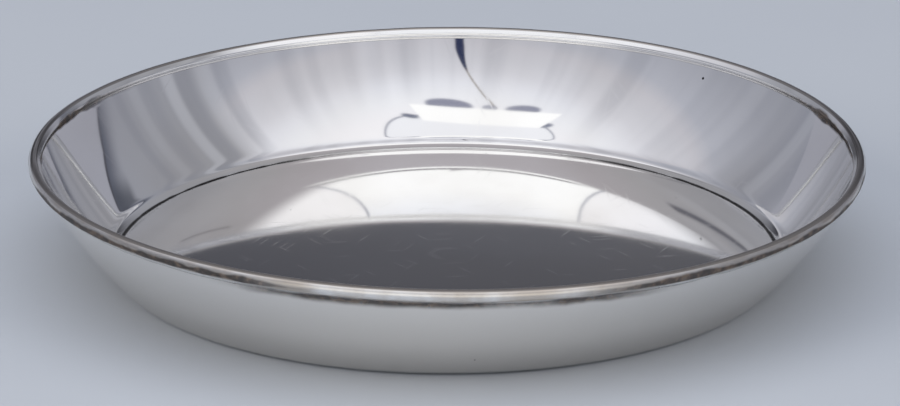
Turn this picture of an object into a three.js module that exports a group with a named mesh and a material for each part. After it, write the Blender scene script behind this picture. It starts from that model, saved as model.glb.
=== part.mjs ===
// Bottle coaster: a shallow round dish spun from one silver sheet, with a flared wall. A grooved round
// wire is slipped over the sheet's edge to stiffen the lip, and a run of solder holds it there.
// Millimetres, +Z up, origin at the centre of the underside, where the coaster stands on the table.

import * as THREE from "three";

// Driving dimensions
const rimDiameter = 140; // across the outside of the lip wire
const overallHeight = 19.3; // from the table to the top of the lip wire
const sheetThickness = 0.9; // gauge of the spun sheet
const cornerRadius = 2.4; // inside radius between the floor and the wall
const footSlopeDegrees = 47; // slope of the wall, from level, where it leaves the corner
const lipSlopeDegrees = 62.3; // slope of the wall where it meets the lip
const wireDiameter = 2.1; // round wire along the lip
const edgeInset = 0.25; // the sheet's edge stops this far below the wire's centre
const solderFilm = 0.15; // solder between the sheet and the walls of the wire's groove
const solderLeg = 0.55; // how far the solder runs down the sheet below the wire

// Fineness of the facets
const turnSegments = 96; // around the axis
const arcDivisions = 4; // along each arc of a section, in half steps

// Slopes, and the sections' coordinates as (radius, height)
const footSlope = THREE.MathUtils.degToRad(footSlopeDegrees);
const lipSlope = THREE.MathUtils.degToRad(lipSlopeDegrees);
const quarterTurn = Math.PI / 2;
const halfSheet = sheetThickness / 2;
const wireRadius = wireDiameter / 2;
const wireCentre = new THREE.Vector2(rimDiameter / 2 - wireRadius, overallHeight - wireRadius);

// Directions at the lip: up along the sheet, and square to it on the side facing the bottle
const alongLip = new THREE.Vector2(Math.cos(lipSlope), Math.sin(lipSlope));
const acrossLip = new THREE.Vector2(-Math.sin(lipSlope), Math.cos(lipSlope));

// A point near the lip: a distance above the wire's centre along the sheet, and one to the inner side
function lipPoint(above, inward) {
  return wireCentre.clone().addScaledVector(alongLip, above).addScaledVector(acrossLip, inward);
}

// The sheet's centre line, worked out from the lip down: a straight margin under the wire, the wall's
// arc, the corner's arc, and the level floor. The arcs turn through the slopes, so the fall of the wall
// sets its radius, and its reach sets where the floor's flat ends.
const marginBelowWireCentre = wireRadius + solderLeg;
const marginFoot = lipPoint(-marginBelowWireCentre, 0);
const cornerCentreLine = cornerRadius + halfSheet;
const wallFootHeight = halfSheet + cornerCentreLine * (1 - Math.cos(footSlope));
const wallRadius = (marginFoot.y - wallFootHeight) / (Math.cos(footSlope) - Math.cos(lipSlope));
const wallFootRadius = marginFoot.x - wallRadius * (Math.sin(lipSlope) - Math.sin(footSlope));
const floorFlatRadius = wallFootRadius - cornerCentreLine * Math.sin(footSlope);
const cornerCentre = new THREE.Vector2(floorFlatRadius, sheetThickness + cornerRadius);
const wallCentre = new THREE.Vector2(
  wallFootRadius - wallRadius * Math.sin(footSlope),
  wallFootHeight + wallRadius * Math.cos(footSlope),
);

// Turns a closed section about the vertical axis into a solid.
function turnSolid(section) {
  const shortestStep = 1e-4;
  const points = [];
  for (const point of section.getPoints(arcDivisions)) {
    if (!points.length || point.distanceTo(points.at(-1)) > shortestStep) points.push(point);
  }
  return new THREE.LatheGeometry(points, turnSegments).rotateX(quarterTurn);
}

// The spun dish: floor, corner, flared wall and square-cut edge in one thickness of sheet.
function makeDish() {
  const footAngle = footSlope - quarterTurn;
  const lipAngle = lipSlope - quarterTurn;
  const edgeOuter = lipPoint(-edgeInset, -halfSheet);
  const edgeInner = lipPoint(-edgeInset, halfSheet);
  const section = new THREE.Path();
  section.moveTo(0, 0);
  section.lineTo(floorFlatRadius, 0);
  section.absarc(cornerCentre.x, cornerCentre.y, cornerRadius + sheetThickness, -quarterTurn, footAngle);
  section.absarc(wallCentre.x, wallCentre.y, wallRadius + halfSheet, footAngle, lipAngle);
  section.lineTo(edgeOuter.x, edgeOuter.y);
  section.lineTo(edgeInner.x, edgeInner.y);
  section.absarc(wallCentre.x, wallCentre.y, wallRadius - halfSheet, lipAngle, footAngle, true);
  section.absarc(cornerCentre.x, cornerCentre.y, cornerRadius, footAngle, -quarterTurn, true);
  section.lineTo(0, sheetThickness);
  return turnSolid(section);
}

// The groove in the wire's underside, which takes the sheet's edge and the solder around it.
const grooveHalfWidth = halfSheet + solderFilm;
const grooveTop = -edgeInset + solderFilm;
const grooveMouth = -Math.sqrt(wireRadius ** 2 - grooveHalfWidth ** 2);

// The lip wire: a round section with the groove cut up into it, closed on itself.
function makeLipWire() {
  const mouthSpread = Math.asin(grooveHalfWidth / wireRadius);
  const mouthAngle = lipSlope + Math.PI;
  const corners = [
    lipPoint(grooveTop, grooveHalfWidth),
    lipPoint(grooveTop, -grooveHalfWidth),
    lipPoint(grooveMouth, -grooveHalfWidth),
  ];
  const section = new THREE.Path();
  section.absarc(
    wireCentre.x,
    wireCentre.y,
    wireRadius,
    mouthAngle + mouthSpread,
    mouthAngle - mouthSpread + 2 * Math.PI,
  );
  for (const corner of corners) section.lineTo(corner.x, corner.y);
  return turnSolid(section);
}

// The solder: a lining between the sheet's edge and the groove, and a fillet under the wire on each side.
function makeLipSolder() {
  const corners = [
    lipPoint(-marginBelowWireCentre, -halfSheet),
    lipPoint(grooveMouth, -grooveHalfWidth),
    lipPoint(grooveTop, -grooveHalfWidth),
    lipPoint(grooveTop, grooveHalfWidth),
    lipPoint(grooveMouth, grooveHalfWidth),
    lipPoint(-marginBelowWireCentre, halfSheet),
    lipPoint(-edgeInset, halfSheet),
    lipPoint(-edgeInset, -halfSheet),
  ];
  const section = new THREE.Path().setFromPoints([...corners, corners[0]]);
  return turnSolid(section);
}

// Finishes
const polishedSilver = new THREE.MeshStandardMaterial({ color: 0xf1efec, roughness: 0.06, metalness: 1 });
const wornSilver = new THREE.MeshStandardMaterial({ color: 0xe6e0d6, roughness: 0.16, metalness: 1 });
const tarnishedSolder = new THREE.MeshStandardMaterial({ color: 0x4a3f38, roughness: 0.5, metalness: 1 });

// Assembly: the pieces share the axis and are modelled where they sit.
const pieces = [
  ["dish", makeDish(), polishedSilver],
  ["lip_wire", makeLipWire(), wornSilver],
  ["lip_solder", makeLipSolder(), tarnishedSolder],
];
const coaster = new THREE.Group();
for (const [name, geometry, finish] of pieces) {
  const piece = new THREE.Mesh(geometry, finish);
  piece.name = name;
  coaster.add(piece);
}

export default coaster;
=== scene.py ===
from math import asin, cos, exp, hypot, pi, radians, sin, sqrt

import bmesh
import bpy
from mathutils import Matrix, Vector, noise


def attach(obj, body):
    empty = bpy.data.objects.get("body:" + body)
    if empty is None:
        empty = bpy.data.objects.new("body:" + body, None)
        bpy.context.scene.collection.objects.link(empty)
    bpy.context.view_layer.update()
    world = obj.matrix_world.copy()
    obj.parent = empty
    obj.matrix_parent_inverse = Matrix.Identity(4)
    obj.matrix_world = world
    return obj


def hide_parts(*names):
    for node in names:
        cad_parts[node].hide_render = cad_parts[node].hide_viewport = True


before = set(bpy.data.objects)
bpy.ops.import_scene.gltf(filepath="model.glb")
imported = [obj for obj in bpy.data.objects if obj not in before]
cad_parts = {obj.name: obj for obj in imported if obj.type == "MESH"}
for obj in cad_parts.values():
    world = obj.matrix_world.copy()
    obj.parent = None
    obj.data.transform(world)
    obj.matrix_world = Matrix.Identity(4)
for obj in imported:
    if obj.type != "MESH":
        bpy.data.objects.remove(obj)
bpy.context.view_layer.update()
scene = bpy.context.scene
scene.view_settings.view_transform = "Standard"
mm = 0.001
print("frame loaded:", ", ".join(sorted(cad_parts)))


def linear(hexColour):  # "#rrggbb" in sRGB to linear red, green, blue and alpha
    parts = [int(hexColour[i:i + 2], 16) / 255 for i in (1, 3, 5)]
    return [p / 12.92 if p <= 0.04045 else ((p + 0.055) / 1.055) ** 2.4 for p in parts] + [1.0]


def addNode(tree, kind, settings={}, links={}):  # one node with its values, ramp stops and links
    made = tree.nodes.new("ShaderNode" + kind)
    for name, value in settings.items():
        if name == "stops":
            ramp = made.color_ramp.elements
            while len(ramp) < len(value):
                ramp.new(1.0)
            for stop, (place, colour) in zip(ramp, value):
                stop.position = place
                stop.color = linear(colour)
        elif isinstance(name, str) and hasattr(made, name):
            setattr(made, name, value)
        else:
            made.inputs[name].default_value = value
    for name, source in links.items():
        tree.links.new(source, made.inputs[name])
    return made


def reckon(tree, kind, operation, terms):  # a sum whose terms are written values or sockets, in order
    settings = {"operation": operation}
    links = {}
    for index, term in enumerate(terms):
        if isinstance(term, bpy.types.NodeSocket):
            links[index] = term
        else:
            settings[index] = term
    return addNode(tree, kind, settings, links)


def maths(tree, operation, *terms):
    return reckon(tree, "Math", operation, terms).outputs[0]


def vectors(tree, operation, *terms):  # the same on vectors; measures of a vector come out as numbers
    measured = operation in ("DISTANCE", "DOT_PRODUCT", "LENGTH")
    return reckon(tree, "VectorMath", operation, terms).outputs["Value" if measured else "Vector"]


def axis(tree, vector, name):  # one coordinate of a vector
    return addNode(tree, "SeparateXYZ", links={0: vector}).outputs[name]


def fade(tree, value, first, last):  # 0 before first, 1 after last, smooth between; falls if first is larger
    rising = first < last
    settings = {
        "interpolation_type": "SMOOTHSTEP",
        "From Min": min(first, last),
        "From Max": max(first, last),
        "To Min": 0.0 if rising else 1.0,
        "To Max": 1.0 if rising else 0.0,
    }
    return addNode(tree, "MapRange", settings, {"Value": value}).outputs[0]


def between(tree, value, low, high, start=0.0, end=1.0):  # start to end turned into low to high, in a line
    settings = {"From Min": start, "From Max": end, "To Min": low, "To Max": high}
    return addNode(tree, "MapRange", settings, {"Value": value}).outputs[0]


def paint(tree, mask, under, colour):  # a colour, written or linked, laid over another by a mask
    settings = {"data_type": "RGBA"}
    links = {0: mask}
    for socket, source in ((6, under), (7, colour)):
        if isinstance(source, str):
            settings[socket] = linear(source)
        else:
            links[socket] = source
    return addNode(tree, "Mix", settings, links).outputs[2]


def both(tree, first, second):  # where two masks overlap
    return maths(tree, "MULTIPLY", first, second)


def cloudy(tree, place, size, detail=2.0):  # soft noise with features of a size in millimetres
    settings = {"Scale": 1 / (size * mm), "Detail": detail}
    return addNode(tree, "TexNoise", settings, {"Vector": place}).outputs["Fac"]


def metres(lengths):  # from millimetres
    return [length * mm for length in lengths]


# camera, at the photograph's height and distance; millimetres and degrees
view = dict(distance=1000, elevation=19.55, lens=237.4, aimRight=0.47, aimUp=9.33)


def makeCamera():
    tilt = radians(view["elevation"])
    eye = Vector((0, -cos(tilt), sin(tilt))) * view["distance"]
    aim = Vector((view["aimRight"], view["aimUp"] * sin(tilt), view["aimUp"] * cos(tilt)))
    camera = bpy.data.objects.new("camera", bpy.data.cameras.new("camera"))
    scene.collection.objects.link(camera)
    camera.location = eye * mm
    camera.rotation_euler = (aim - eye).to_track_quat("-Z", "Y").to_euler()
    camera.data.lens = view["lens"]
    scene.camera = camera


makeCamera()
print("camera placed")

# the coaster's section as the frame has it; millimetres and degrees
coaster = dict(
    rimDiameter=140.0,
    height=19.3,
    sheet=0.9,
    corner=2.4,  # inside radius between floor and wall
    footSlope=47.0,
    lipSlope=62.3,
    wire=2.1,
    edgeInset=0.25,  # the sheet's edge stops this far below the wire's centre
    film=0.15,  # solder beside the sheet in the wire's groove
    margin=1.6,  # straight stretch of sheet below the wire's centre
    bend=0.7,  # how far use has bent the lip out of true
    bendPivot=0.4,
)
footSlope = radians(coaster["footSlope"])
lipSlope = radians(coaster["lipSlope"])
halfSheet = coaster["sheet"] / 2
wireRadius = coaster["wire"] / 2
lipRadius = coaster["rimDiameter"] / 2 - wireRadius
wireCentre = Vector((lipRadius, coaster["height"] - wireRadius))
alongLip = Vector((cos(lipSlope), sin(lipSlope)))
acrossLip = Vector((-sin(lipSlope), cos(lipSlope)))


def lipPoint(above, inward):  # up the sheet from the wire's centre, and square to it towards the bottle
    return wireCentre + alongLip * above + acrossLip * inward


marginFoot = lipPoint(-coaster["margin"], 0)
cornerLine = coaster["corner"] + halfSheet
footHeight = halfSheet + cornerLine * (1 - cos(footSlope))
wallRadius = (marginFoot.y - footHeight) / (cos(footSlope) - cos(lipSlope))
footRadius = marginFoot.x - wallRadius * (sin(lipSlope) - sin(footSlope))
floorRadius = footRadius - cornerLine * sin(footSlope)
cornerCentre = Vector((floorRadius, coaster["sheet"] + coaster["corner"]))
wallCentre = Vector((footRadius - wallRadius * sin(footSlope), footHeight + wallRadius * cos(footSlope)))


def penDown(mesh, point):  # first point of a section, drawn in the XZ plane
    return mesh.verts.new((point[0] * mm, 0, point[1] * mm))


def penLine(mesh, tip, point, steps=1):  # straight on to a point, in equal steps
    start = tip.co.copy()
    end = Vector((point[0] * mm, 0, point[1] * mm))
    for step in range(steps):
        tip = bmesh.ops.extrude_vert_indiv(mesh, verts=[tip])["verts"][0]
        tip.co = start.lerp(end, (step + 1) / steps)
    return tip


def penArc(mesh, tip, centre, turn, steps):  # round a centre; a positive turn climbs outwards
    swept = bmesh.ops.spin(
        mesh,
        geom=[tip],
        cent=(centre.x * mm, 0, centre.y * mm),
        axis=(0, 1, 0),
        angle=-turn,
        steps=steps,
    )
    return next(v for v in swept["geom_last"] if isinstance(v, bmesh.types.BMVert))


def turnOnAxis(mesh, steps):  # the section spun into a closed solid
    section = mesh.verts[:] + mesh.edges[:]
    bmesh.ops.spin(
        mesh, geom=section, cent=(0, 0, 0), axis=(0, 0, 1), angle=2 * pi, steps=steps, use_merge=True
    )
    bmesh.ops.remove_doubles(mesh, verts=mesh.verts, dist=1e-7)
    bmesh.ops.recalc_face_normals(mesh, faces=mesh.faces)


def sectionPlace(vert):  # a point's radius and height in millimetres
    return Vector((hypot(vert.co.x, vert.co.y), vert.co.z)) / mm


def shiftInSection(vert, shift):  # moves a point outwards and up, in millimetres
    outward = Vector((vert.co.x, vert.co.y, 0)).normalized()
    vert.co += (outward * shift.x + Vector((0, 0, shift.y))) * mm


def lipLift(vert):  # rise of the bent lip, nothing at the table
    across = vert.co.x / (lipRadius * mm)
    away = vert.co.y / (lipRadius * mm)
    share = vert.co.z / (coaster["height"] * mm)
    return coaster["bend"] * share * across * (away - coaster["bendPivot"])


def finishPiece(mesh, name, node, material):
    layer = mesh.verts.layers.float_vector.new("section")  # true radius and height, for the finishes
    for vert in mesh.verts:
        place = sectionPlace(vert) * mm
        vert[layer] = (place.x, 0, place.y)
        vert.co.z += lipLift(vert) * mm
    for face in mesh.faces:
        face.smooth = True
    data = bpy.data.meshes.new(name)
    mesh.to_mesh(data)
    mesh.free()
    data.materials.append(material)
    piece = bpy.data.objects.new(name, data)
    scene.collection.objects.link(piece)
    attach(piece, "root")
    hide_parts(node)


def newMaterial(name):
    material = bpy.data.materials.new(name)
    material.use_nodes = True
    tree = material.node_tree
    return material, tree, tree.nodes["Principled BSDF"]


def newMetal(name):  # a metal, with its object coordinates and its own radius and height in metres
    material, tree, shader = newMaterial(name)
    shader.inputs["Metallic"].default_value = 1.0
    place = addNode(tree, "TexCoord").outputs["Object"]
    section = addNode(tree, "Attribute", {"attribute_name": "section"}).outputs["Vector"]
    return material, tree, shader, place, section


def finishMetal(tree, shader, colour, rough):
    tree.links.new(colour, shader.inputs["Base Color"])
    tree.links.new(rough, shader.inputs["Roughness"])


def fromSection(tree, section, point):  # distance from a point of the section, in metres
    return vectors(tree, "DISTANCE", section, (point.x * mm, 0, point.y * mm))


# tarnish left by the joint, by sideways distance: in the crease outside at the middle, on the wire's
# outer face towards the sides, and in a line inside at the far left and right
tarnish = dict(
    crease=dict(centre=lipPoint(-1.65, -0.5), reach=1.6, core=0.2, ends=(40.0, 22.0)),
    face=dict(centre=lipPoint(0.25, -1.0), reach=0.72, core=0.2, ends=(16.0, 34.0)),
    inside=dict(centre=lipPoint(-0.85, 0.8), reach=0.72, core=0.3, ends=(52.0, 67.0)),
    creaseEdge=(0.1, -0.2),  # the crease's tarnish ends at the sheet's middle, between these depths
    wander=0.8,  # how much the reach comes and goes along the lip
    wanderLength=9.0,
    wanderSpan=(0.3, 0.7),
    cleaned=11.5,  # sideways middle of a stretch that was rubbed cleaner
    cleanedReach=(4.5, 7.0),
    cleanedLeft=0.65,
    depth=0.88,
    colours=[(0.30, "#272220"), (0.44, "#3f3632"), (0.54, "#5a4c43"), (0.63, "#7d6a58"), (0.74, "#5d6169")],
    spotSize=1.6,
)


def sidewaysMask(tree, place, ends):  # by the distance left or right of the middle
    aside = maths(tree, "ABSOLUTE", axis(tree, place, "X"))
    return fade(tree, aside, *metres(ends))


def tarnishMask(tree, place, section):
    patchy = cloudy(tree, place, tarnish["wanderLength"], 3.0)
    half = tarnish["wander"] * mm / 2
    spread = between(tree, patchy, -half, half, *tarnish["wanderSpan"])
    masks = {}
    for name in ("crease", "face", "inside"):
        line = tarnish[name]
        wandering = maths(tree, "ADD", fromSection(tree, section, line["centre"]), spread)
        near = fade(tree, wandering, line["reach"] * mm, line["core"] * mm)
        masks[name] = both(tree, near, sidewaysMask(tree, place, line["ends"]))
    across = vectors(tree, "DOT_PRODUCT", section, (acrossLip.x, 0, acrossLip.y))
    middle = wireCentre.dot(acrossLip)
    outside = fade(tree, across, *metres(middle + depth for depth in tarnish["creaseEdge"]))
    fromCleaned = maths(tree, "SUBTRACT", axis(tree, place, "X"), tarnish["cleaned"] * mm)
    kept = fade(tree, maths(tree, "ABSOLUTE", fromCleaned), *metres(tarnish["cleanedReach"]))
    left = between(tree, kept, tarnish["cleanedLeft"], tarnish["depth"])
    crease = both(tree, both(tree, masks["crease"], left), outside)
    face = maths(tree, "MULTIPLY", masks["face"], tarnish["depth"])
    return maths(tree, "MAXIMUM", maths(tree, "MAXIMUM", crease, face), masks["inside"])


def tarnishColour(tree, place):
    spots = cloudy(tree, place, tarnish["spotSize"])
    return addNode(tree, "ValToRGB", {"stops": tarnish["colours"]}, {"Fac": spots}).outputs["Color"]


# spun dish: one sheet, floor to lip, with the slow waves that spinning and use leave
spunDish = dict(
    turnSteps=240,
    cornerSteps=20,
    wallSteps=72,
    floorSteps=24,
    shoulder=0.6,  # narrow ring of floor beside the corner, which keeps the floor's shading flat
    waveLength=26.0,
    waveHeight=0.012,
    kick=0.22,  # the foot of the wall bulges out inside by this, where the spinner's tool ran last
    kickHeight=0.7,
    thinned=0.7,  # the sheet is thinner by this at the corner's outside, and full again at the lip
    thinnedFrom=44.0,
)
dishFinish = dict(
    silver="#fcfcfc",
    toned="#f5f4f3",
    toneSize=22.0,
    toneSpan=(0.35, 0.75),
    outside="#f9f6f1",  # a thin warm tarnish on the outside, which is polished less
    paintedFootShade="#e2dfdb",  # a painted shade: the outside darker towards the foot, next to the table
    footShadeReach=(9.0, 1.0),
    outsideSkin=(0.26, 0.14),  # starts inside the sheet, between these depths from its middle
    buffed=(0.04, 0.07),  # roughness of the mirror where it is clean and where it is rubbed
    scratchLength=9.0,  # spacing along and across a scratch, of which one in a few is there
    scratchWidth=0.42,
    scratchEdge=(0.30, 0.10),
    scratchTurns=(8.0, 63.0, 127.0),
    scratchShare=0.045,
    scratchBlend=0.01,
    scratchRough=0.09,
    dirt="#161414",
    dirtRough=0.2,
    dirtPlace=14.0,  # degrees up the corner's arc
    dirtEdge=(0.48, 0.15),
    dirtWander=0.24,
    dirtSize=7.0,
    dirtSpan=(0.45, 0.75),
    dirtClear=(8.0, 34.0),  # wiped away at the back, between these distances from the middle
    pitPlace=(44.95, 15.8),  # sideways and up the wall, at the back
    pitRadius=0.24,
    speckSpacing=46.0,
    speckRadius=0.14,
    speckDepth=0.5,
    spotEdge=(1.3, 0.7),  # where the pit and the specks end and are full, as shares of their radius
)


def scratchMask(tree, place, turn):  # straight dashes, one in some of the cells of a stretched pattern
    stretch = (dishFinish["scratchLength"] * mm, dishFinish["scratchWidth"] * mm, 1)
    settings = {"vector_type": "TEXTURE", "Rotation": (0, 0, radians(turn)), "Scale": stretch}
    turned = addNode(tree, "Mapping", settings, {"Vector": place}).outputs[0]
    pattern = {"voronoi_dimensions": "2D", "Scale": 1.0}
    cells = addNode(tree, "TexVoronoi", pattern, {"Vector": turned}).outputs
    share = dishFinish["scratchShare"]
    kept = fade(tree, axis(tree, cells["Color"], "X"), share + dishFinish["scratchBlend"], share)
    return both(tree, kept, fade(tree, cells["Distance"], *dishFinish["scratchEdge"]))


def cornerDirt(tree, place, section):  # a line in the corner, strongest at the sides
    up = radians(dishFinish["dirtPlace"])
    line = cornerCentre + Vector((sin(up), -cos(up))) * coaster["corner"]
    crumbs = cloudy(tree, place, dishFinish["dirtSize"], 3.0)
    thinning = between(tree, crumbs, 0, dishFinish["dirtWander"] * mm, *dishFinish["dirtSpan"])
    fromDirt = maths(tree, "ADD", fromSection(tree, section, line), thinning)
    near = fade(tree, fromDirt, *metres(dishFinish["dirtEdge"]))
    return both(tree, near, sidewaysMask(tree, place, dishFinish["dirtClear"]))


def pitAndSpecks(tree, place, dirty):  # one pit in the back wall and a few specks, added to the dirt
    pitX, pitZ = dishFinish["pitPlace"]
    pitReach = wallCentre.x + sqrt((wallRadius - halfSheet) ** 2 - (wallCentre.y - pitZ) ** 2)
    pit = Vector((pitX, sqrt(pitReach ** 2 - pitX ** 2), pitZ)) * mm
    pitEdge = metres(dishFinish["pitRadius"] * share for share in dishFinish["spotEdge"])
    pitMask = fade(tree, vectors(tree, "DISTANCE", place, pit), *pitEdge)
    pattern = {"voronoi_dimensions": "2D", "Scale": 1 / (dishFinish["speckSpacing"] * mm)}
    fromSpeck = addNode(tree, "TexVoronoi", pattern, {"Vector": place}).outputs["Distance"]
    speckShare = dishFinish["speckRadius"] / dishFinish["speckSpacing"]
    speckMask = fade(tree, fromSpeck, *[speckShare * share for share in dishFinish["spotEdge"]])
    dirty = maths(tree, "MAXIMUM", dirty, pitMask)
    return maths(tree, "MULTIPLY_ADD", speckMask, dishFinish["speckDepth"], dirty)


def spunSilver():
    # silver sheet, spun and buffed: a clean mirror, faint wiping scratches that only show where it
    # reflects something dark, and dirt left in the corner where the cloth can't reach
    material, tree, shader, place, section = newMetal("silver sheet, spun and buffed")
    # slow rubbing and toning of the silver, the warmer outside, and a painted shade that darkens the outside
    # towards the foot
    rubbed = fade(tree, cloudy(tree, place, dishFinish["toneSize"], 3.0), *dishFinish["toneSpan"])
    colour = paint(tree, rubbed, dishFinish["silver"], dishFinish["toned"])
    skin = metres(wallRadius - depth for depth in dishFinish["outsideSkin"])
    outside = fade(tree, fromSection(tree, section, wallCentre), *skin)
    # painted shade: the outside turns darker towards the foot, where the wall meets the table
    footShadeMask = fade(tree, axis(tree, section, "Z"), *metres(dishFinish["footShadeReach"]))
    outsideAndFootShade = paint(tree, footShadeMask, dishFinish["outside"], dishFinish["paintedFootShade"])
    colour = paint(tree, outside, colour, outsideAndFootShade)
    # wiping scratches in a few directions
    rough = between(tree, rubbed, *dishFinish["buffed"])
    for turn in dishFinish["scratchTurns"]:
        dash = scratchMask(tree, place, turn)
        rough = maths(tree, "MULTIPLY_ADD", dash, dishFinish["scratchRough"], rough)
    # dirt and tarnish, which are dull
    dirty = pitAndSpecks(tree, place, cornerDirt(tree, place, section))
    colour = paint(tree, dirty, colour, dishFinish["dirt"])
    tarnished = tarnishMask(tree, place, section)
    colour = paint(tree, tarnished, colour, tarnishColour(tree, place))
    for mask in (dirty, tarnished):
        rough = maths(tree, "MULTIPLY_ADD", mask, dishFinish["dirtRough"], rough)
    finishMetal(tree, shader, colour, rough)
    return material


def makeDish():
    mesh = bmesh.new()
    shoulder = floorRadius - spunDish["shoulder"]
    tip = penDown(mesh, (0, 0))
    tip = penLine(mesh, tip, (shoulder, 0), spunDish["floorSteps"])
    tip = penLine(mesh, tip, (floorRadius, 0))
    tip = penArc(mesh, tip, cornerCentre, footSlope, spunDish["cornerSteps"])
    tip = penArc(mesh, tip, wallCentre, lipSlope - footSlope, spunDish["wallSteps"])
    tip = penLine(mesh, tip, lipPoint(-coaster["edgeInset"], -halfSheet), 2)
    outside = set(mesh.verts)
    tip = penLine(mesh, tip, lipPoint(-coaster["edgeInset"], halfSheet))
    tip = penLine(mesh, tip, lipPoint(-coaster["margin"], halfSheet), 2)
    tip = penArc(mesh, tip, wallCentre, footSlope - lipSlope, spunDish["wallSteps"])
    tip = penArc(mesh, tip, cornerCentre, -footSlope, spunDish["cornerSteps"])
    tip = penLine(mesh, tip, (shoulder, coaster["sheet"]))
    penLine(mesh, tip, (0, coaster["sheet"]), spunDish["floorSteps"])
    thinnedSpan = floorRadius - spunDish["thinnedFrom"]
    for vert in mesh.verts:
        if vert in outside:
            inwards = min(1, max(0, vert.co.x / mm - spunDish["thinnedFrom"]) / thinnedSpan)
            below = 1 - min(1, vert.co.z / mm / marginFoot.y) ** 2
            vert.co.x -= spunDish["thinned"] * inwards * below * mm
        else:
            reach = ((vert.co.z / mm - coaster["sheet"]) / spunDish["kickHeight"]) ** 2
            vert.co.x += spunDish["kick"] * reach * exp(1 - reach) * mm
    turnOnAxis(mesh, spunDish["turnSteps"])
    for vert in mesh.verts:
        flat = Vector((vert.co.x, vert.co.y, 0)) / (spunDish["waveLength"] * mm)
        clear = min(1, vert.co.z / (coaster["sheet"] * mm))
        vert.co.z += noise.noise(flat) * spunDish["waveHeight"] * clear * mm
    finishPiece(mesh, "spun_dish", "dish", spunSilver())


# lip wire: a grooved round wire slipped over the sheet's edge, a little lumpy from wear
lipWire = dict(
    turnSteps=480,
    roundSteps=40,
    lumpLength=6.0,
    lumpHeight=0.03,
    lumpSkin=0.99,  # share of the radius from which a point is on the round, not in the groove
    rubbed=0.13,  # depth of the flat rubbed along the inner top
    rubbedTilt=48.0,
)
wireFinish = dict(
    silver="#fbfbfa",
    worn="#d3cabf",
    wornSize=9.0,
    wornSpan=(0.3, 0.65),
    film="#aaa5a1",  # grey: a painted shade along the top of the wire, a little outwards, and a fainter film around the tarnish
    topShadeTilt=4.0,
    topShadeReach=(40.0, 30.0),
    topShadeBack=0.9,  # share of the painted top shade at the back
    filmFace=(1.75, 0.95),  # reach of a fainter film around the tarnish on the wire's outer face
    filmFaint=0.35,
    bright=0.12,  # roughness at the back, where hands don't reach
    satin=0.33,  # and at the front
    handled=(10.0, -40.0),  # from the back to the front
    dull=0.3,
)
grooveHalf = halfSheet + coaster["film"]
grooveTop = coaster["film"] - coaster["edgeInset"]
grooveMouth = -sqrt(wireRadius ** 2 - grooveHalf ** 2)


def wireTopShadeAndFilm(tree, place, section, handled):  # a painted shade along the top, and a fainter film around the tarnish on the face
    tilt = radians(wireFinish["topShadeTilt"])
    offset = vectors(tree, "SUBTRACT", section, (wireCentre.x * mm, 0, wireCentre.y * mm))
    facing = vectors(tree, "NORMALIZE", offset)
    upwards = vectors(tree, "DOT_PRODUCT", facing, (sin(tilt), 0, cos(tilt)))
    topShadeMask = fade(tree, upwards, *[cos(radians(angle)) for angle in wireFinish["topShadeReach"]])
    share = between(tree, handled, wireFinish["topShadeBack"], 1.0)
    face = tarnish["face"]
    near = fade(tree, fromSection(tree, section, face["centre"]), *metres(wireFinish["filmFace"]))
    around = both(tree, sidewaysMask(tree, place, face["ends"]), near)
    faint = maths(tree, "MULTIPLY", around, wireFinish["filmFaint"])
    return maths(tree, "MAXIMUM", both(tree, share, topShadeMask), faint)


def wornSilver():
    # silver wire, rubbed by hands: a satin shine with a warm tone, grey painted along the top as shade, a
    # faint film around the tarnish, and brown dull tarnish in the crease and on the outer face
    material, tree, shader, place, section = newMetal("silver wire, worn satin")
    handled = fade(tree, axis(tree, place, "Y"), *metres(wireFinish["handled"]))
    rubs = fade(tree, cloudy(tree, place, wireFinish["wornSize"], 4.0), *wireFinish["wornSpan"])
    colour = paint(tree, both(tree, handled, rubs), wireFinish["silver"], wireFinish["worn"])
    # painted shade: grey along the top of the wire, and a fainter film around the tarnish on the face
    colour = paint(tree, wireTopShadeAndFilm(tree, place, section, handled), colour, wireFinish["film"])
    tarnished = tarnishMask(tree, place, section)
    colour = paint(tree, tarnished, colour, tarnishColour(tree, place))
    satin = between(tree, handled, wireFinish["bright"], wireFinish["satin"])
    rough = maths(tree, "MULTIPLY_ADD", tarnished, wireFinish["dull"], satin)
    finishMetal(tree, shader, colour, rough)
    return material


def makeLipWire():
    mesh = bmesh.new()
    mouthSpread = asin(grooveHalf / wireRadius)
    rubbedTilt = radians(lipWire["rubbedTilt"])
    rubbedSide = Vector((-sin(rubbedTilt), cos(rubbedTilt)))
    start = penDown(mesh, lipPoint(grooveMouth, -grooveHalf))
    tip = penArc(mesh, start, wireCentre, 2 * pi - 2 * mouthSpread, lipWire["roundSteps"])
    tip = penLine(mesh, tip, lipPoint(grooveTop, grooveHalf))
    tip = penLine(mesh, tip, lipPoint(grooveTop, -grooveHalf))
    mesh.edges.new((tip, start))
    turnOnAxis(mesh, lipWire["turnSteps"])
    for vert in mesh.verts:
        out = sectionPlace(vert) - wireCentre
        if out.length > wireRadius * lipWire["lumpSkin"]:
            lump = noise.noise(vert.co / (lipWire["lumpLength"] * mm)) * lipWire["lumpHeight"]
            over = max(0, out.dot(rubbedSide) - wireRadius + lipWire["rubbed"])
            shiftInSection(vert, out.normalized() * lump - rubbedSide * over)
    finishPiece(mesh, "lip_edging_wire", "lip_wire", wornSilver())


# lip solder: the run that fills the groove and feathers out on the sheet
lipSolder = dict(turnSteps=480, runLength=4.0, run=0.25, innerToe=1.15)
solderFinish = dict(clean="#f7f6f4", satin=0.2, dull=0.5)


def tarnishedSolder():
    # silver solder: wiped clean on the bottle's side, brown and dull on the outside
    material, tree, shader, place, section = newMetal("silver solder, tarnished outside")
    tarnished = tarnishMask(tree, place, section)
    colour = paint(tree, tarnished, solderFinish["clean"], tarnishColour(tree, place))
    rough = between(tree, tarnished, solderFinish["satin"], solderFinish["dull"])
    finishMetal(tree, shader, colour, rough)
    return material


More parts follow.
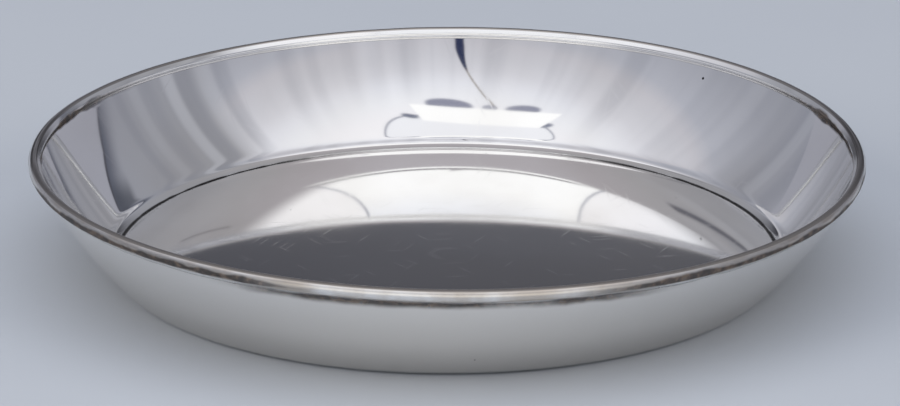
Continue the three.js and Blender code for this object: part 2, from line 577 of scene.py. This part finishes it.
def makeLipSolder():
    mesh = bmesh.new()
    start = penDown(mesh, lipPoint(-coaster["margin"], -halfSheet))
    tip = penLine(mesh, start, lipPoint(grooveMouth, -grooveHalf), 3)
    tip = penLine(mesh, tip, lipPoint(grooveTop, -grooveHalf))
    tip = penLine(mesh, tip, lipPoint(grooveTop, grooveHalf))
    tip = penLine(mesh, tip, lipPoint(grooveMouth, grooveHalf))
    tip = penLine(mesh, tip, lipPoint(-lipSolder["innerToe"], halfSheet), 3)
    tip = penLine(mesh, tip, lipPoint(-coaster["edgeInset"], halfSheet))
    tip = penLine(mesh, tip, lipPoint(-coaster["edgeInset"], -halfSheet))
    mesh.edges.new((tip, start))
    turnOnAxis(mesh, lipSolder["turnSteps"])
    for vert in mesh.verts:
        out = sectionPlace(vert) - wireCentre
        share = (grooveMouth - out.dot(alongLip)) / (coaster["margin"] + grooveMouth)
        if share > 0 and out.dot(acrossLip) < 0:
            run = noise.noise(vert.co / (lipSolder["runLength"] * mm)) * lipSolder["run"] * share
            shiftInSection(vert, alongLip * -run)
    finishPiece(mesh, "lip_solder_run", "lip_solder", tarnishedSolder())


makeDish()
makeLipWire()
makeLipSolder()
print("pieces made")

# light tent: what the mirror metal sees. Places are on a plane one unit overhead, x right and y away.
# Heights are the sines of elevations. Bearings are parts of a level unit vector, x right and y away.
tent = dict(
    strength=1.03,
    lowestRise=0.03,  # lower than this, the overhead plane is too far away to follow
    wobble=0.01,
    wobbleScale=3.0,
    frontStops=[  # by height, towards the camera
        (0.20, "#8c8e97"), (0.375, "#999ba5"), (0.5, "#a6a8b2"), (0.56, "#adafb9"), (0.616, "#c0bfc6"),
        (0.67, "#c7c7ce"), (0.72, "#d2d2d9"), (0.766, "#e2e3ea"), (0.81, "#ecedf2"), (0.86, "#f2f1f5"),
        (0.93, "#f9f8fa"), (1.0, "#fcfbfc"),
    ],
    backStops=[  # the same for the dim cloth away from the camera
        (0.20, "#8d8f99"), (0.5, "#919299"), (0.70, "#949499"), (0.85, "#9e9c9f"), (0.914, "#a6a2a6"),
        (1.0, "#b2aeb3"),
    ],
    lowColour="#fdfdfd",  # the cloth on the table towards the camera
    lowTop=(0.545, 0.49),
    lowBearing=(-0.55, -0.80),
)
roofEdge = dict(  # where the lit roof ends, a little behind the zenith, and further out along a slanting line
    place=0.085,
    bow=0.8,
    soft=0.014,
    slantSoft=0.18,
    sideFrom=(0.05, 0.25),
    lines=[(-0.008, "#8d8a8e"), (0.006, "#ffffff")],  # a thin shade and a glint along it
    lineWidth=(0.009, 0.004),
    lineEnds=(0.36, 0.28),
)
skirt = dict(  # the cloth on the table behind
    colour="#9798a2",
    line="#474850",
    lineWidth=0.010,
    shade="#585b67",
    shadeTop=0.10,
    shadeBearing=(0.35, 0.6),
    sideFrom=(0.1, 0.3),
)
tentSides = [  # right and left: how the lit part's edge slants, and how the skirt climbs towards the back
    dict(side=1, slant=0.28, edge=0.22, rise=0.072, tilt=0.298, cap=0.262),
    dict(side=-1, slant=0.50, edge=0.05, rise=-0.28, tilt=0.70, cap=0.30),
]
tentFolds = [  # upright folds in the cloth: bearing from the camera in degrees, half width, depth
    (-136, 4, 0.20), (-124, 3.5, 0.12), (-116, 3, 0.06), (-92, 5, 0.06), (-62, 5, 0.20), (-16, 5, 0.16),
    (12, 4, 0.14), (32, 3, 0.10), (44, 3, 0.06), (52, 4, 0.10), (76, 4, 0.26), (91, 4.5, 0.24),
    (106, 4, 0.14), (119, 3, 0.16),
]
tentRidges = [
    (-144, 4, 0.10), (-128, 3, 0.10), (-104, 4, 0.06), (-45, 6, 0.10), (4, 3, 0.10), (25, 4, 0.16),
    (83, 4, 0.14), (97, 3.5, 0.26), (112, 3, 0.08),
]
foldShade = dict(
    hollow="#70737f",
    ridge="#d4d6df",
    top=(0.86, 0.70),
    lean=0.5,
    leanFrom=0.56,
    creaseSize=0.09,
    creaseSpan=(0.45, 0.7),
    creaseDepth=0.10,
)
gloom = dict(
    colour="#49494e",
    left="#3a3a40",
    leftFrom=(0.04, -0.08),
    rise=(1.4, 2.55),
    fall=(3.45, 2.62),
    bearing=(0.80, 0.93),
    lowTop=(0.28, 0.22),
    lowBearing=(0.82, 0.93),
    lowGap=(0.12, 0.22),
)
roofPanel = dict(
    centre=(-0.055, 0),
    half=(0.32, 0.56),
    corner=0.2,
    turn=0,
    soft=0.004,
    warp=dict(drift=0.19, keystone=-0.20, flare=1.97, tilt=0.18, bow=0.0),
    near="#eeeff4",
    far="#ffffff",
    farFrom=(-0.32, -0.05),
    line="#7d8092",
    lineWidth=0.006,
)
lampWarp = dict(drift=0.25, keystone=3.57, flare=0.0, tilt=0.0, bow=0.28)
leastWiden = 0.2  # keeps a warped patch from turning inside out
softShades = [
    dict(
        centre=(2.05, 2.25), half=(0.12, 0.50), corner=0.12, turn=-26, soft=0.22,
        colour="#484b54", strength=0.8,
    ),
    dict(
        centre=(-0.585, 0.62), half=(0.008, 0.17), corner=0.008, turn=26, soft=0.035,
        colour="#4f4f58", strength=0.85,
    ),
    dict(
        centre=(0.62, 0.365), half=(0.004, 0.14), corner=0.004, turn=-17, soft=0.006,
        colour="#6b686c", strength=0.8,
    ),
]
lampOvals = [  # ovals and bits along the lamp's strip
    dict(centre=(-0.010, -0.666), half=0.045, stretch=2.7, turn=-8, soft=0.006, colour="#8c8ea0"),
    dict(centre=(-0.215, -0.635), half=0.02, stretch=1.9, turn=-12, soft=0.005, colour="#a0a2b0"),
    dict(centre=(-0.385, -0.594), half=0.032, stretch=2.9, turn=-12, soft=0.006, colour="#8c8ea0"),
    dict(centre=(0.175, -0.575), half=0.013, stretch=3.4, turn=-8, soft=0.005, colour="#6f7486"),
    dict(centre=(-0.46, -0.460), half=0.016, stretch=3.0, turn=-12, soft=0.005, colour="#7d8294"),
]
lampStrip = dict(
    centre=(-0.192, -0.572), half=(0.378, 0.056), corner=0.003, turn=-11, soft=0.003,
    colour="#ffffff", warp=lampWarp,
)
tentSlit = dict(
    foot=-1.2,
    head=-0.63,
    headSoft=0.01,
    footX=-0.095,
    bend=0.155,
    footWidth=0.032,
    headWidth=0.005,
    narrowBy=0.46,  # share of the climb where the width is down to the head's
    colour="#2c3350",
    thin="#8f877f",
    thinFrom=(0.36, 0.48),
    edge=(1.25, 0.75),
)


def warpPlan(tree, turned, warp):  # leans, widens towards the camera, tilts and bows a patch's coordinates
    x = axis(tree, turned, "X")
    y = axis(tree, turned, "Y")
    leant = maths(tree, "MULTIPLY_ADD", y, -warp["drift"], x)
    slope = maths(tree, "MULTIPLY_ADD", y, warp["flare"], -warp["keystone"])
    widen = maths(tree, "MULTIPLY_ADD", y, slope, 1.0)
    across = maths(tree, "DIVIDE", leant, maths(tree, "MAXIMUM", widen, leastWiden))
    climb = maths(tree, "MULTIPLY_ADD", x, -warp["bow"], warp["tilt"])
    along = maths(tree, "MULTIPLY_ADD", climb, x, y)
    return addNode(tree, "CombineXYZ", links={0: across, 1: along}).outputs[0]


def patchMask(tree, plan, patch, grow=0):  # a turned rectangle overhead, or an oval if it has a stretch
    stretch = patch.get("stretch", 1)
    oval = stretch > 1
    half = (patch["half"], patch["half"]) if oval else patch["half"]
    corner = patch["half"] if oval else patch["corner"]
    settings = {"vector_type": "TEXTURE", "Location": (*patch["centre"], 1), "Scale": (stretch, 1, 1)}
    settings["Rotation"] = (0, 0, radians(patch["turn"]))
    turned = addNode(tree, "Mapping", settings, {"Vector": plan}).outputs[0]
    if "warp" in patch:
        turned = warpPlan(tree, turned, patch["warp"])
    core = (half[0] - corner, half[1] - corner, 9)  # upwards it has no edge
    beyond = vectors(tree, "SUBTRACT", vectors(tree, "ABSOLUTE", turned), core)
    distance = vectors(tree, "LENGTH", vectors(tree, "MAXIMUM", beyond, (0, 0, 0)))
    edge = corner + grow
    mask = fade(tree, distance, edge + patch["soft"], max(0, edge - patch["soft"]))
    return maths(tree, "MULTIPLY", mask, patch.get("strength", 1))


def readRay(tree):  # a ray's height, its place on the overhead plane, and its bearing
    ray = addNode(tree, "TexCoord").outputs["Generated"]
    height = axis(tree, ray, "Z")
    rise = maths(tree, "MAXIMUM", height, tent["lowestRise"])
    rises = addNode(tree, "CombineXYZ", links={0: rise, 1: rise, 2: rise}).outputs[0]
    straight = vectors(tree, "DIVIDE", ray, rises)
    pattern = {"Scale": tent["wobbleScale"], "Detail": 1.0}
    ripple = addNode(tree, "TexNoise", pattern, {"Vector": straight}).outputs["Color"]
    shift = vectors(tree, "SUBTRACT", ripple, (0.5, 0.5, 0.5))
    plan = vectors(tree, "MULTIPLY_ADD", shift, (tent["wobble"], tent["wobble"], 0), straight)
    bearing = vectors(tree, "NORMALIZE", vectors(tree, "MULTIPLY", ray, (1, 1, 0)))
    return dict(
        height=height,
        plan=plan,
        planX=axis(tree, plan, "X"),
        planY=axis(tree, plan, "Y"),
        bearing=bearing,
        bearingX=axis(tree, bearing, "X"),
        bearingY=axis(tree, bearing, "Y"),
    )


def onSide(tree, ray, half, reach):  # the right or the left half of the tent
    return fade(tree, ray["bearingX"], *[x * half["side"] for x in reach])


def paintRoof(tree, ray, walls):  # a white panel with a thin dark edge
    rim = patchMask(tree, ray["plan"], roofPanel, roofPanel["lineWidth"])
    walls = paint(tree, rim, walls, roofPanel["line"])
    further = fade(tree, ray["planY"], *roofPanel["farFrom"])
    pale = paint(tree, further, roofPanel["near"], roofPanel["far"])
    return paint(tree, patchMask(tree, ray["plan"], roofPanel), walls, pale)


def paintBack(tree, ray, walls):  # the dim cloth behind the lit part, and the lines along the edge overhead
    xSquare = maths(tree, "POWER", ray["planX"], 2.0)
    bowed = maths(tree, "MULTIPLY_ADD", xSquare, -roofEdge["bow"], ray["planY"])
    away = fade(tree, bowed, roofEdge["place"] - roofEdge["soft"], roofEdge["place"] + roofEdge["soft"])
    out = vectors(tree, "LENGTH", vectors(tree, "MULTIPLY", ray["plan"], (1, 1, 0)))
    for half in tentSides:
        slanted = vectors(tree, "DOT_PRODUCT", ray["plan"], (half["slant"], 1, 0))
        ratio = maths(tree, "DIVIDE", maths(tree, "SUBTRACT", slanted, half["edge"]), out)
        past = fade(tree, ratio, -roofEdge["slantSoft"], roofEdge["slantSoft"])
        aside = both(tree, onSide(tree, ray, half, roofEdge["sideFrom"]), past)
        away = maths(tree, "MAXIMUM", away, aside)
    dim = addNode(tree, "ValToRGB", {"stops": tent["backStops"]}, {"Fac": ray["height"]}).outputs["Color"]
    walls = paint(tree, away, walls, dim)
    near = fade(tree, maths(tree, "ABSOLUTE", ray["planX"]), *roofEdge["lineEnds"])
    for offset, colour in roofEdge["lines"]:
        gap = maths(tree, "ABSOLUTE", maths(tree, "SUBTRACT", bowed, roofEdge["place"] + offset))
        walls = paint(tree, both(tree, near, fade(tree, gap, *roofEdge["lineWidth"])), walls, colour)
    return walls


def paintFolds(tree, ray, walls):  # folds, which lean on the right, and finer creases between them
    hung = fade(tree, ray["height"], *foldShade["top"])
    lean = foldShade["lean"]
    upright = maths(tree, "MULTIPLY_ADD", ray["height"], -lean, lean * foldShade["leanFrom"])
    turn = both(tree, upright, maths(tree, "MAXIMUM", ray["bearingX"], 0.0))
    leant = addNode(
        tree, "VectorRotate", {"rotation_type": "Z_AXIS"}, {"Vector": ray["bearing"], "Angle": turn}
    ).outputs[0]
    for folds, colour in ((tentFolds, foldShade["hollow"]), (tentRidges, foldShade["ridge"])):
        for degrees, half, depth in folds:
            towards = (sin(radians(degrees)), -cos(radians(degrees)), 0)
            facing = vectors(tree, "DOT_PRODUCT", leant, towards)
            fold = maths(tree, "MULTIPLY", fade(tree, facing, cos(radians(half)), 1.0), depth)
            walls = paint(tree, both(tree, hung, fold), walls, colour)
    pattern = {"Scale": 1 / foldShade["creaseSize"], "Detail": 2.0}
    fine = addNode(tree, "TexNoise", pattern, {"Vector": leant}).outputs["Fac"]
    crease = maths(tree, "MULTIPLY", fade(tree, fine, *foldShade["creaseSpan"]), foldShade["creaseDepth"])
    return paint(tree, both(tree, hung, crease), walls, foldShade["hollow"])


def paintSlit(tree, ray, walls):  # a dark gap in the front of the tent, closing to a thin seam upwards
    climb = between(tree, ray["planY"], 0.0, 1.0, tentSlit["foot"], tentSlit["head"])
    bent = maths(tree, "MULTIPLY_ADD", maths(tree, "POWER", climb, 2.0), tentSlit["bend"], ray["planX"])
    off = maths(tree, "ABSOLUTE", maths(tree, "SUBTRACT", bent, tentSlit["footX"]))
    widths = (tentSlit["footWidth"], tentSlit["headWidth"])
    width = between(tree, climb, *widths, 0.0, tentSlit["narrowBy"])
    across = fade(tree, maths(tree, "DIVIDE", off, width), *tentSlit["edge"])
    below = fade(tree, ray["planY"], tentSlit["head"] + tentSlit["headSoft"], tentSlit["head"])
    thin = fade(tree, climb, *tentSlit["thinFrom"])
    colour = paint(tree, thin, tentSlit["colour"], tentSlit["thin"])
    return paint(tree, both(tree, across, below), walls, colour)


def paintLowCloth(tree, ray, walls):  # white cloth low towards the camera, and the skirt on the table behind
    front = fade(tree, ray["bearingY"], *tent["lowBearing"])
    low = both(tree, fade(tree, ray["height"], *tent["lowTop"]), front)
    walls = paint(tree, low, walls, tent["lowColour"])
    lineWidth = skirt["lineWidth"]
    for half in tentSides:
        climb = maths(tree, "MULTIPLY_ADD", ray["bearingY"], half["tilt"], half["rise"])
        over = maths(tree, "SUBTRACT", ray["height"], maths(tree, "MINIMUM", climb, half["cap"]))
        here = onSide(tree, ray, half, skirt["sideFrom"])
        if half["side"] > 0:  # a shaded edge on the right only
            back = fade(tree, ray["bearingY"], *skirt["shadeBearing"])
            shade = both(tree, fade(tree, over, skirt["shadeTop"], 0), back)
            walls = paint(tree, both(tree, shade, here), walls, skirt["shade"])
            onLine = fade(tree, over, lineWidth, lineWidth * 0.5)
            walls = paint(tree, both(tree, onLine, here), walls, skirt["line"])
        under = fade(tree, over, 0, -lineWidth * 0.5)
        walls = paint(tree, both(tree, under, here), walls, skirt["colour"])
    return walls


def paintGloom(tree, ray, walls):  # the gloom low at the back, which the floor shows
    deep = both(tree, fade(tree, ray["planY"], *gloom["rise"]), fade(tree, ray["planY"], *gloom["fall"]))
    dusk = paint(tree, fade(tree, ray["bearingX"], *gloom["leftFrom"]), gloom["colour"], gloom["left"])
    walls = paint(tree, both(tree, deep, fade(tree, ray["bearingY"], *gloom["bearing"])), walls, dusk)
    back = fade(tree, ray["bearingY"], *gloom["lowBearing"])
    lowest = both(tree, fade(tree, ray["height"], *gloom["lowTop"]), back)
    aside = fade(tree, maths(tree, "ABSOLUTE", ray["bearingX"]), *gloom["lowGap"])
    return paint(tree, both(tree, lowest, aside), walls, gloom["colour"])


def makeTent():
    world = bpy.data.worlds.new("light tent")
    scene.world = world
    world.use_nodes = True
    tree = world.node_tree
    tree.nodes.clear()
    ray = readRay(tree)
    walls = addNode(tree, "ValToRGB", {"stops": tent["frontStops"]}, {"Fac": ray["height"]}).outputs["Color"]
    for layer in (paintRoof, paintBack, paintFolds, paintSlit, paintLowCloth, paintGloom):
        walls = layer(tree, ray, walls)
    for patch in softShades + lampOvals + [lampStrip]:
        walls = paint(tree, patchMask(tree, ray["plan"], patch), walls, patch["colour"])
    world.cycles_visibility.diffuse = False  # the lamps alone light the table
    light = addNode(tree, "Background", {"Strength": tent["strength"]}, {"Color": walls})
    addNode(tree, "OutputWorld", links={"Surface": light.outputs[0]})


makeTent()

# soft daylight for the table: overcast sky, a roof light and three windows; mirrors don't show them
skyLight = dict(strength=0.96, colour="#eff4ff", spread=178.0)
roofLight = dict(strength=1.58, colour="#eff4ff", spread=80.0)
windows = dict(
    colour="#fff9f1",
    size=0.8,
    distance=0.92,
    height=0.42,
    lights=[(0, 0.5), (-66, 6.8), (66, 5.0)],  # bearing from the camera and power
)


def addLamp(name, kind, lamp):
    data = bpy.data.lights.new(name, kind)
    data.color = linear(lamp["colour"])[:3]
    made = bpy.data.objects.new(name, data)
    made.visible_glossy = False
    scene.collection.objects.link(made)
    return made


def makeLamps():
    for name, light in (("overcast sky", skyLight), ("roof light", roofLight)):
        lamp = addLamp(name, "SUN", light)
        lamp.data.energy = light["strength"]
        lamp.data.angle = radians(light["spread"])
    for bearing, power in windows["lights"]:
        window = addLamp("window", "AREA", windows)
        window.data.energy = power
        window.data.size = windows["size"]
        aside = windows["distance"] * sin(radians(bearing))
        window.location = (aside, -windows["distance"] * cos(radians(bearing)), windows["height"])
        window.rotation_euler = (-window.location).to_track_quat("-Z", "Y").to_euler()


makeLamps()

# table: plain pale paper, wide enough to fill every view
table = dict(size=12.0, colour="#b2b7be", mottle="#adb2ba", mottleSize=60.0, roughness=0.6, below=0.02)


def makeTable():
    mesh = bmesh.new()
    bmesh.ops.create_grid(mesh, x_segments=1, y_segments=1, size=table["size"] / 2)
    bmesh.ops.translate(mesh, verts=mesh.verts, vec=(0, 0, -table["below"] * mm))
    data = bpy.data.meshes.new("table")
    mesh.to_mesh(data)
    mesh.free()
    material, tree, shader = newMaterial("matt paper")
    place = addNode(tree, "TexCoord").outputs["Object"]
    mottle = cloudy(tree, place, table["mottleSize"])
    tree.links.new(paint(tree, mottle, table["colour"], table["mottle"]), shader.inputs["Base Color"])
    shader.inputs["Roughness"].default_value = table["roughness"]
    data.materials.append(material)
    sheet = bpy.data.objects.new("table", data)
    scene.collection.objects.link(sheet)


makeTable()
print("stage set")
